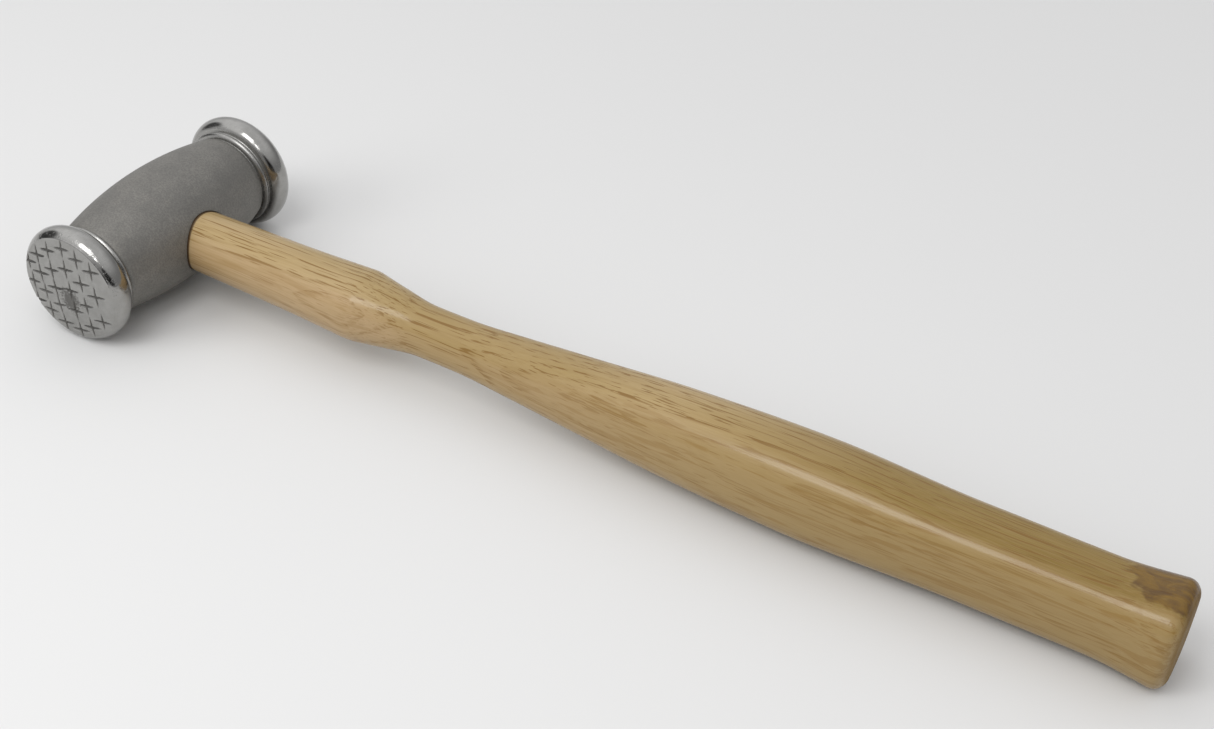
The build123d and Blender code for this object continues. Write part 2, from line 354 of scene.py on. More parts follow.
def disc_grid(radius):
    """Points of a square grid pressed into a disc, and the order of those on its edge."""
    steps = np.linspace(-1, 1, FACE_CELLS + 1)
    a, b = np.meshgrid(steps, steps, indexing="ij")
    wide = np.abs(a) > np.abs(b)
    main = np.where(wide, a, b)
    ratio = np.where(wide, b, a) / np.where(main == 0, 1, main)
    angle = np.where(wide, ratio * math.pi / 4, math.pi / 2 - ratio * math.pi / 4)
    x = radius * main * np.cos(angle)
    z = radius * main * np.sin(angle)
    n = FACE_CELLS
    edge = [(n, k) for k in range(n)] + [(n - k, n) for k in range(n)]
    edge += [(0, n - k) for k in range(n)] + [(k, 0) for k in range(n)]
    return x, z, edge


def arc_points(start, middle, end, step):
    """Points about a step apart on the circle through three points, after the first of them."""
    (ax, ay), (bx, by), (cx, cy) = start, middle, end
    d = 2 * (ax * (by - cy) + bx * (cy - ay) + cx * (ay - by))
    a2, b2, c2 = ax * ax + ay * ay, bx * bx + by * by, cx * cx + cy * cy
    x = (a2 * (by - cy) + b2 * (cy - ay) + c2 * (ay - by)) / d
    y = (a2 * (cx - bx) + b2 * (ax - cx) + c2 * (bx - ax)) / d
    radius = math.hypot(ax - x, ay - y)
    first = math.atan2(ay - y, ax - x)
    turn = math.atan2(cy - y, cx - x) - first
    turn = (turn + math.pi) % (2 * math.pi) - math.pi
    count = max(2, round(abs(turn) * radius / step))
    angles = [first + turn * k / count for k in range(1, count + 1)]
    return [(x + radius * math.cos(t), y + radius * math.sin(t)) for t in angles]


def curve_points(corners, step):
    """Points about a step apart on a smooth curve through the corners, after the first."""
    points = []
    padded = [corners[0], *corners, corners[-1]]
    for p, q, r, s in zip(padded, padded[1:], padded[2:], padded[3:]):
        count = max(2, round(math.dist(q, r) / step))
        for k in range(1, count + 1):
            t = k / count
            points.append(tuple(
                0.5 * (2 * b + (c - a) * t + (2 * a - 5 * b + 4 * c - d) * t ** 2
                       + (3 * b - 3 * c + d - a) * t ** 3)
                for a, b, c, d in zip(p, q, r, s)
            ))
    return points


def flange_outline():
    """(radius, y) from the edge of the face's grid round the flange to the groove's far side."""
    inner = FACE_RADIUS - FACE_EDGE_ROUND
    face_edge = (inner, dome_height(inner))
    shoulder = (FACE_RADIUS + 0.12, HEAD_LENGTH / 2 - DOME_RISE - 0.17)
    corner = (FACE_RADIUS - 0.04, HEAD_LENGTH / 2 - DOME_RISE - 0.02)
    outline = arc_points(face_edge, corner, shoulder, RIM_STEP / 2)
    rim = (RIM_RADIUS, RIM_WIDEST_Y)
    rim_back = (RIM_BACK_RADIUS + 0.25, RIM_BACK_Y + 0.22)
    outline += arc_points(shoulder, rim, rim_back, RIM_STEP)
    corners = [
        rim_back,
        (RIM_BACK_RADIUS - 0.25, RIM_BACK_Y - 0.08),
        (COVE_RADIUS + 0.2, COVE_Y + 0.24),
        (COVE_RADIUS, COVE_Y),
        (BEAD_RADIUS, BEAD_Y),
        (BEAD_RADIUS - 0.36, BEAD_FOOT_Y + 0.2),
        (GROOVE_RADIUS + 0.25, BEAD_FOOT_Y),
        (GROOVE_RADIUS, BEAD_FOOT_Y - 0.06),
        (GROOVE_RADIUS, GROOVE_Y),
        (BARREL_END_RADIUS - 0.12, BARREL_END_Y + 0.04),
    ]
    return outline + curve_points(corners, RIM_STEP)


def spin(radius, y, count):
    """A ring of points round the head's axis, starting between -Z and +X."""
    angles = [-math.pi / 4 + 2 * math.pi * k / count for k in range(count)]
    return [(radius * math.cos(a), y, radius * math.sin(a)) for a in angles]


def head_end(shell, side, strokes, wave_height, phase):
    """One face and its flange. Returns the last ring, and how deeply each point is struck."""
    inner = FACE_RADIUS - FACE_EDGE_ROUND
    x, z, edge = disc_grid(inner)
    flat_x, flat_z = x.ravel(), z.ravel()
    cut, lip = chiselled(flat_x, flat_z, strokes)
    uneven = waves(flat_x, flat_z, wave_height, phase)
    height = np.array([dome_height(math.hypot(a, b)) for a, b in zip(flat_x, flat_z)])
    y = side * (height - cut + lip + uneven)
    grid = np.array(shell.add(zip(flat_x, y, flat_z))).reshape(x.shape)
    depth = list(cut / STROKE_DEPTH)
    for i in range(FACE_CELLS):
        for j in range(FACE_CELLS):
            shell.face((grid[i, j], grid[i + 1, j], grid[i + 1, j + 1], grid[i, j + 1]), 1)
    ring = [grid[at] for at in edge]
    outline = flange_outline()
    for number, (radius, ring_y) in enumerate(outline):
        wide = number < STRUCK_RINGS
        points = np.array(spin(radius, ring_y, len(edge) if wide else RIM_SPOKES))
        fade = max(0.0, 1 - max(0.0, radius - FACE_RADIUS + FADE_INSET) / FADE_WIDTH)
        if wide:
            cut, lip = chiselled(points[:, 0], points[:, 2], strokes)
            uneven = waves(points[:, 0], points[:, 2], wave_height, phase)
            points[:, 1] += fade * (lip + uneven - cut)
            depth += list(fade * cut / STROKE_DEPTH)
        else:
            depth += [0.0] * RIM_SPOKES
        points[:, 1] *= side
        ring_before, ring = ring, shell.add(points)
        if len(ring) == len(ring_before):
            shell.band(ring_before, ring, 1)
        else:
            shell.halve(ring_before, ring, 1)
    return ring, depth


def eye_size(x):
    x = max(-SHAFT_X, min(SHAFT_X, x))
    return smooth(x, EYE, 1), smooth(x, EYE, 2)


def on_barrel(side, y, z, proud=0.0):
    return side * math.sqrt((barrel_radius(y) + proud) ** 2 - z ** 2)


def eye_point(side, turn):
    """Where the eye's wall meets the barrel's surface, in a direction round the handle's axis."""
    x = side * BARREL_RADIUS
    for _ in range(6):
        half_y, half_z = eye_size(x)
        y, z = half_y * math.cos(turn), half_z * math.sin(turn)
        x = on_barrel(side, y, z)
    return x, y, z


def eye_mouth(shell, side, rim):
    """Rings that run from the patch's edge to the eye's rounded mouth and a little way in."""
    corner_y = max(abs(shell.points[p][1]) for p in rim)
    corner_z = max(abs(shell.points[p][2]) for p in rim)
    turns = [math.atan2(shell.points[p][2] / corner_z, shell.points[p][1] / corner_y) for p in rim]
    mouth = [eye_point(side, t) for t in turns]
    ring = rim
    for share in (0.84, 0.68, 0.52, 0.38, 0.26, 0.16, 0.08, 0.03):
        points = []
        for p, (_, y, z), turn in zip(rim, mouth, turns):
            _, far_y, far_z = shell.points[p]
            near_y = y + MOUTH_ROUND * math.cos(turn)
            near_z = z + MOUTH_ROUND * math.sin(turn)
            new_y = near_y + (far_y - near_y) * share
            new_z = near_z + (far_z - near_z) * share
            points.append((on_barrel(side, new_y, new_z), new_y, new_z))
        ring = shell.grow(ring, points)
    for k in range(5):
        t = math.pi / 2 * k / 4
        out = MOUTH_ROUND * (1 - math.sin(t))
        down = MOUTH_ROUND * (1 - math.cos(t))
        points = []
        for (_, y, z), turn in zip(mouth, turns):
            new_y, new_z = y + out * math.cos(turn), z + out * math.sin(turn)
            points.append((on_barrel(side, new_y, new_z) - side * down, new_y, new_z))
        ring = shell.grow(ring, points)
    return ring, turns


def eye_wall(shell, front, back, turns):
    """The tapered tunnel between the eye's two mouths."""
    ring = front
    for k in range(1, 12):
        points = []
        for p, q, turn in zip(front, back, turns):
            x = shell.points[p][0] + (shell.points[q][0] - shell.points[p][0]) * k / 12
            half_y, half_z = eye_size(x)
            points.append((x, half_y * math.cos(turn), half_z * math.sin(turn)))
        ring = shell.grow(ring, points)
    shell.band(ring, back)


def barrel(shell, near_ring, far_ring):
    """The bulging barrel between the two grooves, with the eye through it."""
    low, high = PATCH_ROWS
    ys = [BARREL_END_Y * (2 * i / BARREL_ROWS - 1) for i in range(BARREL_ROWS + 1)]
    rows = [shell.add(spin(barrel_radius(y), y, BARREL_SPOKES)) for y in ys]
    shell.halve(near_ring, rows[0])
    shell.halve(far_ring, rows[-1])
    half_turn = BARREL_SPOKES // 2
    for i in range(BARREL_ROWS):
        for j in range(BARREL_SPOKES):
            if low <= i < high and j % half_turn < PATCH_SPOKES:
                continue
            after = (j + 1) % BARREL_SPOKES
            shell.face((rows[i][j], rows[i][after], rows[i + 1][after], rows[i + 1][j]))
    loop = [(low, j) for j in range(PATCH_SPOKES)]
    loop += [(i, PATCH_SPOKES) for i in range(low, high)]
    loop += [(high, j) for j in range(PATCH_SPOKES, 0, -1)]
    loop += [(i, 0) for i in range(high, low, -1)]
    front_rim = [rows[i][j] for i, j in loop]
    back_rim = [rows[i][half_turn + PATCH_SPOKES - j] for i, j in loop]
    front, turns = eye_mouth(shell, 1, front_rim)
    back, _ = eye_mouth(shell, -1, back_rim)
    eye_wall(shell, front, back, turns)


def make_head(blasted, polished):
    shell = Shell()
    near_strokes = strokes_of(-1, NEAR_FACE_TURN, 0.0)
    far_strokes = strokes_of(1, FAR_FACE_TURN, 2.0)
    near_ring, near_depth = head_end(shell, -1, near_strokes, NEAR_WAVES, 3.0)
    far_ring, far_depth = head_end(shell, 1, far_strokes, FAR_WAVES, 17.0)
    barrel(shell, near_ring, far_ring)
    depth = near_depth + far_depth
    depth += [0.0] * (len(shell.points) - len(depth))
    made = shell.piece("hammer_head", [blasted, polished])
    groove = made.data.attributes.new("groove", "FLOAT", "POINT")
    groove.data.foreach_set("value", depth)
    return made


# ---------------------------------------------------------------- handle

def section_sizes(x):
    """Half width, half height and squareness of the handle at each x of an array."""
    marks = np.linspace(-SHAFT_X, BUTT_X, 2400)
    tenon = [(at, width - TENON_GAP, height - TENON_GAP, 2.0) for at, width, height in EYE]
    columns = []
    for column in (1, 2, 3):
        values = []
        for mark in marks:
            stations = tenon if mark < SHAFT_X else SHAFT if mark < SHOULDER_X else GRIP
            values.append(smooth(mark, stations, column))
        columns.append(np.interp(x, marks, values))
    return columns


def section_points(x, inset=0.0):
    """Y and Z of the handle's surface where x has one column for each point of a section."""
    half_y, half_z, squareness = section_sizes(x)
    half_y = half_y - inset
    half_z = half_z - inset
    # each quarter is a Bezier curve that meets a superellipse of this squareness on its diagonal
    pull = (0.5 ** (1 / squareness) - 0.5) * 8 / 3
    share = np.arange(SECTION_POINTS) * 4 / SECTION_POINTS
    quarter = share.astype(int)
    t = share - quarter
    t = np.where(quarter % 2 == 1, 1 - t, t)
    side_y = np.where((quarter == 0) | (quarter == 3), 1, -1)
    side_z = np.where(quarter < 2, 1, -1)
    flank = (1 - t) ** 3 + 3 * (1 - t) ** 2 * t
    crest = t ** 3 + 3 * (1 - t) * t ** 2
    y = side_y * half_y * (flank + 3 * (1 - t) * t ** 2 * pull)
    z = side_z * half_z * (crest + 3 * (1 - t) ** 2 * t * pull)
    return y, z


def shoulder_softness():
    """How far the shoulder is rounded over at each point of a section: least at the top."""
    turn = np.arange(SECTION_POINTS) * 2 * math.pi / SECTION_POINTS
    return 1.3 - 0.9 * np.sin(turn)


def along_handle():
    """Places of the sections from the tenon's middle to the rounding of the butt."""
    places = list(np.linspace(SHAFT_X, SHOULDER_X - 4, 32))
    places += list(np.linspace(SHOULDER_X - 3.6, SHOULDER_X + 3.6, 25))
    places += list(np.linspace(SHOULDER_X + 4, BUTT_X - BUTT_EDGE_RADIUS, 130))
    return np.array(places)


def long_part():
    """X, Y and Z of the sections between the head and the butt, one row each."""
    places = along_handle()
    x = np.repeat(places[:, None], SECTION_POINTS, 1)
    y = np.zeros_like(x)
    z = np.zeros_like(x)
    softness = shoulder_softness()
    samples = np.linspace(-1, 1, 9)
    for sample in samples:
        near = np.exp(-(((x - SHOULDER_X) / 6) ** 2))
        sy, sz = section_points(x + sample * softness * near)
        y += sy / len(samples)
        z += sz / len(samples)
    return x, y, z


def hand_finish(points):
    """Points moved by a few hundredths of a millimetre, as rasp and sandpaper leave wood."""
    moved = []
    for x, y, z in points:
        slow = noise.noise((x / 16, y / 7, z / 7))
        lift = 1 + 0.006 * slow
        moved.append((x, y * lift, z * lift))
    return moved


def handle_cap(shell, ring, x_at, slot=0):
    """Closes the handle's end with shrinking rings; x_at gives a point's x from its y and z."""
    first = [shell.points[p] for p in ring]
    for share in (0.93, 0.84, 0.73, 0.6, 0.46, 0.32, 0.2, 0.09):
        points = [(x_at(y * share, z * share), y * share, z * share) for _, y, z in first]
        ring = shell.grow(ring, points, slot)
    centre = shell.add([(x_at(0, 0), 0, 0)])[0]
    shell.fan(ring, centre, slot)


def tenon_end():
    """X, Y and Z where the tenon's sides reach its sanded end."""
    x = np.full(SECTION_POINTS, -BARREL_RADIUS)
    for _ in range(6):
        y, z = section_points(x)
        x = np.array([on_barrel(-1, b, c, TENON_PROUD) for b, c in zip(y, z)])
    return x, y, z


def make_handle(wood):
    shell = Shell()
    x, y, z = long_part()
    rings = [shell.add(hand_finish(zip(x[i], y[i], z[i]))) for i in range(len(x))]
    for one, other in zip(rings, rings[1:]):
        shell.band(one, other)
    ring = rings[-1]
    for k in range(1, 9):
        t = math.pi / 2 * k / 8
        at = np.full(SECTION_POINTS, BUTT_X - BUTT_EDGE_RADIUS * (1 - math.sin(t)))
        edge_y, edge_z = section_points(at, BUTT_EDGE_RADIUS * (1 - math.cos(t)))
        ring = shell.grow(ring, hand_finish(zip(at, edge_y, edge_z)))
    handle_cap(shell, ring, lambda y, z: BUTT_X - 0.02)
    end_x, end_y, end_z = tenon_end()
    ring = rings[0]
    for share in (0.1, 0.2, 0.32, 0.45, 0.58, 0.7, 0.8, 0.88, 0.94, 0.98):
        at = SHAFT_X + (end_x + 0.25 - SHAFT_X) * share / 0.98
        side_y, side_z = section_points(at)
        ring = shell.grow(ring, zip(at, side_y, side_z))
    rounded = [(x + 0.07, y * 0.99, z * 0.99) for x, y, z in zip(end_x, end_y, end_z)]
    ring = shell.grow(ring, rounded)
    handle_cap(shell, ring, lambda y, z: on_barrel(-1, y, z, TENON_PROUD))
    return shell.piece("hammer_handle", [wood])


# ---------------------------------------------------------------- wedges

def wood_wedge_half(x):
    slope = (WOOD_WEDGE_TOP_THICK - KERF_THICK) / (WOOD_WEDGE_TIP_X + BARREL_RADIUS)
    return (KERF_THICK + slope * (WOOD_WEDGE_TIP_X - x)) / 2


def steel_wedge_half(x):
    slope = STEEL_WEDGE_TOP_THICK - STEEL_WEDGE_TIP_THICK
    slope /= STEEL_WEDGE_TIP_X + BARREL_RADIUS
    return (STEEL_WEDGE_TIP_THICK + slope * (STEEL_WEDGE_TIP_X - x)) / 2


def prism(outline, width, flat_axis):
    """A plate whose side view has these corners (x, across); flat_axis is its other axis."""
    shell = Shell()
    sides = []
    for half in (-width / 2, width / 2):
        if flat_axis == "Y":
            sides.append(shell.add([(x, half, across) for x, across in outline]))
        else:
            sides.append(shell.add([(x, across, half) for x, across in outline]))
    shell.band(sides[0], sides[1])
    shell.face(sides[0])
    shell.face(sides[1])
    return shell


def wood_slot():
    """What the wood wedge and the saw kerf take out of the tenon."""
    tip = wood_wedge_half(WOOD_WEDGE_TIP_X) + WEDGE_CLEARANCE
    back = wood_wedge_half(CUTTER_END_X) + WEDGE_CLEARANCE
    outline = [(KERF_END_X, tip), (WOOD_WEDGE_TIP_X, tip), (CUTTER_END_X, back)]
    outline += [(x, -across) for x, across in reversed(outline)]
    return prism(outline, CUTTER_WIDTH, "Y").piece("wood_slot", [])


def steel_slot():
    """What the steel wedge takes out of the tenon and the wood wedge."""
    tip = steel_wedge_half(STEEL_WEDGE_TIP_X) + WEDGE_CLEARANCE
    back = steel_wedge_half(CUTTER_END_X) + WEDGE_CLEARANCE
    outline = [(STEEL_WEDGE_TIP_X + 0.1, tip), (CUTTER_END_X, back)]
    outline += [(x, -across) for x, across in reversed(outline)]
    return prism(outline, STEEL_WEDGE_WIDTH + 2 * WEDGE_CLEARANCE, "Z").piece("steel_slot", [])


def make_wood_wedge(wood):
    """Tapered slab across the tenon, its end sanded to the tenon's curve."""
    shell = Shell()
    across, thick = 36, 6
    corners = [(u, 1.0) for u in np.linspace(-1, 1, across + 1)[:-1]]
    corners += [(1.0, v) for v in np.linspace(1, -1, thick + 1)[:-1]]
    corners += [(u, -1.0) for u in np.linspace(1, -1, across + 1)[:-1]]
    corners += [(-1.0, v) for v in np.linspace(-1, 1, thick + 1)[:-1]]

    def spot(u, v, share):
        """A point of the wedge: u over its width, v over its thickness, share up from its tip."""
        x = WOOD_WEDGE_TIP_X - (WOOD_WEDGE_TIP_X + BARREL_RADIUS) * share
        for _ in range(4):
            half_y, half_z = eye_size(x)
            z = v * wood_wedge_half(x)
            y = u * (half_y - TENON_GAP) * math.sqrt(1 - (z / half_z) ** 2)
            top = on_barrel(-1, y, z, TENON_PROUD - 0.03)
            x = WOOD_WEDGE_TIP_X + (top - WOOD_WEDGE_TIP_X) * share
        return x, y, z

    rings = [shell.add([spot(u, v, share) for u, v in corners]) for share in np.linspace(0, 1, 15)]
    for one, other in zip(rings, rings[1:]):
        shell.band(one, other)
    for share, rim in ((0, rings[0]), (1, rings[-1])):
        rows = [rim[:across + 1]]
        for k in range(1, thick):
            v = 1 - 2 * k / thick
            inner = [spot(u, v, share) for u in np.linspace(-1, 1, across + 1)[1:-1]]
            rows.append([rim[-k], *shell.add(inner), rim[across + k]])
        rows.append([rim[across + thick + across - k] for k in range(across + 1)])
        for one, other in zip(rows, rows[1:]):
            for k in range(across):
                shell.face((one[k], one[k + 1], other[k + 1], other[k]))
    return shell.piece("tenon_wood_wedge", [wood])


def make_steel_wedge(steel):
    """Short tapered plate with saw-tooth barbs in both broad faces and a hammered top."""
    top_x = -(BARREL_RADIUS + TENON_PROUD)
    one_side = [(STEEL_WEDGE_TIP_X, steel_wedge_half(STEEL_WEDGE_TIP_X))]
    for k in range(BARB_COUNT):
        x = STEEL_WEDGE_TIP_X - BARB_PITCH * (k + 0.8)
        one_side.append((x + BARB_PITCH * 0.35, steel_wedge_half(x + BARB_PITCH * 0.35)))
        one_side.append((x, steel_wedge_half(x) - BARB_DEPTH))
        one_side.append((x - 0.02, steel_wedge_half(x)))
    one_side.append((top_x, steel_wedge_half(top_x)))
    outline = one_side + [(x, -across) for x, across in reversed(one_side)]
    made = prism(outline, STEEL_WEDGE_WIDTH, "Z").piece("tenon_steel_wedge", [steel])
    shape = bmesh.new()
    shape.from_mesh(made.data)
    sharp = [e for e in shape.edges if e.calc_face_angle(0.0) > math.radians(50)]
    bmesh.ops.bevel(shape, geom=sharp, offset=0.06 * MM, segments=2, affect="EDGES")
    shape.to_mesh(made.data)
    shape.free()
    sharpen(made, 35)
    return made


# ---------------------------------------------------------------- materials

BRUISE_CENTRE = (0.2, -2.7)         # on the near face: x and z
BRUISE_RADII = (2.4, 2.7)
PITH_Y = 34.0                       # middle of the tree, seen along the handle
PITH_Z = -9.0
RING_WIDTH = 1.45
NECK_SHADE_START = (50.0, 75.0)     # x over which the neck's darkening comes in
NECK_SHADE_END = (130.0, 100.0)     # and the x, read backwards, over which it goes
# the grip's darker colour is painted shade, for light that falls off towards the butt
GRIP_SHADE_SPAN = (125.0, 180.0)     # x over which the shaft's colour becomes the grip's
# the flanks' colour is painted lighter than the top's, as painted light, and darker towards the butt,
# as painted shade
FLANK_SHADE_SPAN = (60.0, 150.0)     # the same on the flanks
STREAK_SPAN = (70.0, 150.0)         # x over which the flanks' streaks get stronger
KNOT_CENTRE = (232.0, 5.5, 10.5)
KNOT_RADII = (16.0, 10.5, 8.5)


class Recipe:
    """The nodes of one material, or of the sky. Plain numbers go to sockets; sockets are linked."""

    def __init__(self, owner):
        owner.use_nodes = True
        self.owner = owner
        self.tree = owner.node_tree

    def node(self, kind, inputs, **settings):
        made = self.tree.nodes.new("ShaderNode" + kind)
        for key, value in settings.items():
            setattr(made, key, value)
        for key, value in inputs.items():
            self.feed(made.inputs[key], value)
        return made

    def feed(self, socket, value):
        if isinstance(value, bpy.types.NodeSocket):
            self.tree.links.new(value, socket)
        else:
            socket.default_value = value

    def shade(self, **inputs):
        for key, value in inputs.items():
            socket = key.replace("_", " ").title().replace("Ior", "IOR")
            self.feed(self.tree.nodes["Principled BSDF"].inputs[socket], value)

    def maths(self, operation, a, b=0.0, c=0.0):
        return self.node("Math", {0: a, 1: b, 2: c}, operation=operation).outputs[0]

    def add(self, a, b):
        return self.maths("ADD", a, b)

    def times(self, a, b):
        return self.maths("MULTIPLY", a, b)

    def length(self, *parts):
        """Length of the vector with these parts."""
        total = self.times(parts[0], parts[0])
        for part in parts[1:]:
            total = self.maths("MULTIPLY_ADD", part, part, total)
        return self.maths("SQRT", total)

    def away(self, value, centre, radius):
        """How many radii the value lies from the centre."""
        return self.maths("DIVIDE", self.maths("SUBTRACT", value, centre), radius)

    def step(self, value, low, high):
        """0 where the value is at low, 1 where it is at high, and a soft slope between."""
        inputs = {"Value": value, "From Min": low, "From Max": high}
        return self.node("MapRange", inputs, interpolation_type="SMOOTHSTEP").outputs[0]

    def spread(self, value, low, high):
        """A 0 to 1 value carried to a range."""
        return self.node("MapRange", {"Value": value, "To Min": low, "To Max": high}).outputs[0]

    def mix(self, share, one, other):
        """Two colours blended; a plain one is (red, green, blue)."""
        made = self.node("Mix", {}, data_type="RGBA", blend_type="MIX")
        self.feed(made.inputs[0], share)
        for place, colour in ((6, one), (7, other)):
            self.feed(made.inputs[place], (*colour, 1) if isinstance(colour, tuple) else colour)
        return made.outputs[2]

    def over(self, tone, share, strength, colour):
        """The tone with a colour over it, at this strength where the share is 1."""
        return self.mix(self.spread(share, 0.0, strength), tone, colour)

    def noise(self, vector, scale, detail=2.0, roughness=0.5, distortion=0.0):
        inputs = {"Vector": vector, "Scale": scale, "Detail": detail,
                  "Roughness": roughness, "Distortion": distortion}
        return self.node("TexNoise", inputs).outputs[0]

    def place(self):
        """The shaping frame's position in millimetres, at each point of the surface."""
        turn = Matrix.Rotation(-TILT, 4, "Y")
        start = turn @ (-HEAD_CENTRE / MM)
        where = self.node("TexCoord", {}).outputs["Object"]
        inputs = {"Vector": where, "Location": start, "Rotation": (0, -TILT, 0),
                  "Scale": (1 / MM, 1 / MM, 1 / MM)}
        return self.node("Mapping", inputs).outputs[0]

    def stretched(self, vector, x, y, z):
        return self.node("Mapping", {"Vector": vector, "Scale": (x, y, z)}).outputs[0]

    def split(self, vector):
        return self.node("SeparateXYZ", {"Vector": vector}).outputs[:3]

    def joined(self, x, y, z):
        return self.node("CombineXYZ", {"X": x, "Y": y, "Z": z}).outputs[0]

    def turned(self, vector, degrees):
        turn = (0, math.radians(degrees), 0)
        return self.node("Mapping", {"Vector": vector, "Rotation": turn}).outputs[0]

    def bump(self, height, millimetres, normal=None):
        inputs = {"Height": height, "Distance": millimetres * MM, "Strength": 1.0}
        if normal is not None:
            inputs["Normal"] = normal
        return self.node("Bump", inputs).outputs[0]


def paint(name):
    return Recipe(bpy.data.materials.new(name))


def blasted_steel():
    """Bead-blasted steel: even grey, faintly mottled, with a fine dense grain."""
    r = paint("blasted_steel")
    at = r.place()
    mottle = r.noise(at, 0.16, 3.0, 0.6)
    rubbed = r.noise(r.stretched(at, 0.5, 0.16, 0.5), 1.0, 2.0)
    grain = r.noise(at, 2.6, 3.0, 0.75)
    pits = r.noise(at, 6.5, 1.0, 0.5)
    tone = r.mix(r.step(mottle, 0.3, 0.7), (0.235, 0.229, 0.214), (0.295, 0.286, 0.265))
    tone = r.over(tone, r.step(rubbed, 0.5, 0.75), 0.5, (0.3, 0.288, 0.262))
    tone = r.over(tone, r.step(grain, 0.38, 0.62), 0.5, (0.155, 0.152, 0.144))
    rough = r.spread(mottle, 0.56, 0.7)
    skin = r.bump(grain, 0.05)
    skin = r.bump(pits, 0.014, skin)
    r.shade(base_color=tone, metallic=0.85, roughness=rough, normal=skin)
    return r.owner


def scratches(r, at, degrees, spacing, low):
    """1 on fine straight scratches across a face, at this angle to the handle."""
    lines = r.noise(r.stretched(r.turned(at, degrees), 0.25, 1.0, spacing), 1.0, 3.0, 0.7, 0.2)
    return r.step(lines, low, low + 0.1)


def scuffed(r, at):
    """1 on the dull bruise below the middle of the near face, and the noise that frays it."""
    x, y, z = r.split(at)
    (centre_x, centre_z), (radius_x, radius_z) = BRUISE_CENTRE, BRUISE_RADII
    far = r.length(r.away(x, centre_x, radius_x), r.away(z, centre_z, radius_z))
    ragged = r.noise(at, 1.6, 3.0, 0.65)
    far = r.add(far, r.times(r.maths("SUBTRACT", ragged, 0.5), 2.4))
    return r.times(r.step(far, 1.2, 0.6), r.step(y, -28.0, -29.0)), ragged


def polished_steel():
    """Buffed steel with fine lathe lines, hairline scratches and dull chisel cuts; painted shade in
    the cuts and low behind the rims.
    """
    r = paint("polished_steel")
    at = r.place()
    x, y, z = r.split(at)
    turned = r.noise(r.joined(r.length(x, z), y, 0.0), 9.0, 3.0, 0.7)
    swirl = r.noise(at, 0.5, 2.0)
    hair = r.maths("MAXIMUM", scratches(r, at, 28, 9.0, 0.6), scratches(r, at, -52, 11.0, 0.62))
    hair = r.maths("MAXIMUM", hair, scratches(r, at, 82, 7.0, 0.6))
    groove = r.node("Attribute", {}, attribute_name="groove").outputs["Fac"]
    # darker the deeper a stroke is cut: painted shade in the grooves
    groove_shade = r.step(groove, 0.02, 0.5)
    scuff, ragged = scuffed(r, at)
    tone = r.mix(r.step(swirl, 0.3, 0.7), (0.335, 0.331, 0.318), (0.375, 0.371, 0.358))
    tone = r.over(tone, hair, 0.4, (0.22, 0.216, 0.208))
    tone = r.over(tone, scuff, 0.85, (0.13, 0.126, 0.118))
    tone = r.over(tone, groove_shade, 0.8, (0.08, 0.076, 0.07))
    rough = r.add(r.spread(swirl, 0.07, 0.15), r.times(hair, 0.08))
    rough = r.add(rough, r.times(r.maths("MAXIMUM", scuff, groove_shade), 0.28))
    behind_rim = r.step(r.maths("ABSOLUTE", y), RIM_BACK_Y + 0.8, RIM_BACK_Y - 0.2)
    rough = r.add(rough, r.times(behind_rim, 0.16))
    # darker towards the bottom behind the rims: painted shade for the dark reflection there
    painted_shade_below = r.times(behind_rim, r.step(z, 5.0, -3.0))
    tone = r.over(tone, painted_shade_below, 0.7, (0.09, 0.084, 0.076))
    on_faces = r.step(r.maths("ABSOLUTE", y), 27.5, 28.5)
    nicks = r.times(r.step(r.noise(at, 0.9, 3.0, 0.7), 0.56, 0.66), on_faces)
    skin = r.bump(turned, 0.0015)
    skin = r.bump(r.maths("SUBTRACT", 1.0, nicks), 0.02, skin)
    skin = r.bump(r.maths("SUBTRACT", 1.0, hair), 0.004, skin)
    skin = r.bump(r.times(scuff, ragged), 0.12, skin)
    r.shade(base_color=tone, metallic=1.0, roughness=rough, normal=skin)
    return r.owner


def oak_rings(r, at):
    """Distance from the tree's pith at each point, in ring widths, swaying as grain does."""
    x, y, z = r.split(at)
    sway = r.noise(r.stretched(at, 0.014, 0.05, 0.05), 1.0, 2.0)
    ripple = r.noise(r.stretched(at, 0.05, 0.25, 0.25), 1.0, 2.0)
    total = r.add(r.length(r.away(y, PITH_Y, 1.0), r.away(z, PITH_Z, 1.0)), r.times(x, 0.012))
    total = r.add(total, r.times(sway, 7.0))
    total = r.add(total, r.times(ripple, 1.2))
    return r.maths("DIVIDE", total, RING_WIDTH)


def dashes(r, at, length, thin, low, seed):
    """1 in thin dashes that run along the handle: pores cut open lengthwise."""
    moved = r.node("Mapping", {"Vector": at, "Location": (seed * 31.0, seed * 7.0, seed * 3.0),
                               "Scale": (1 / length, 1 / thin, 1 / thin)}).outputs[0]
    return r.step(r.noise(moved, 1.0, 1.0, 0.4), low, low + 0.06)


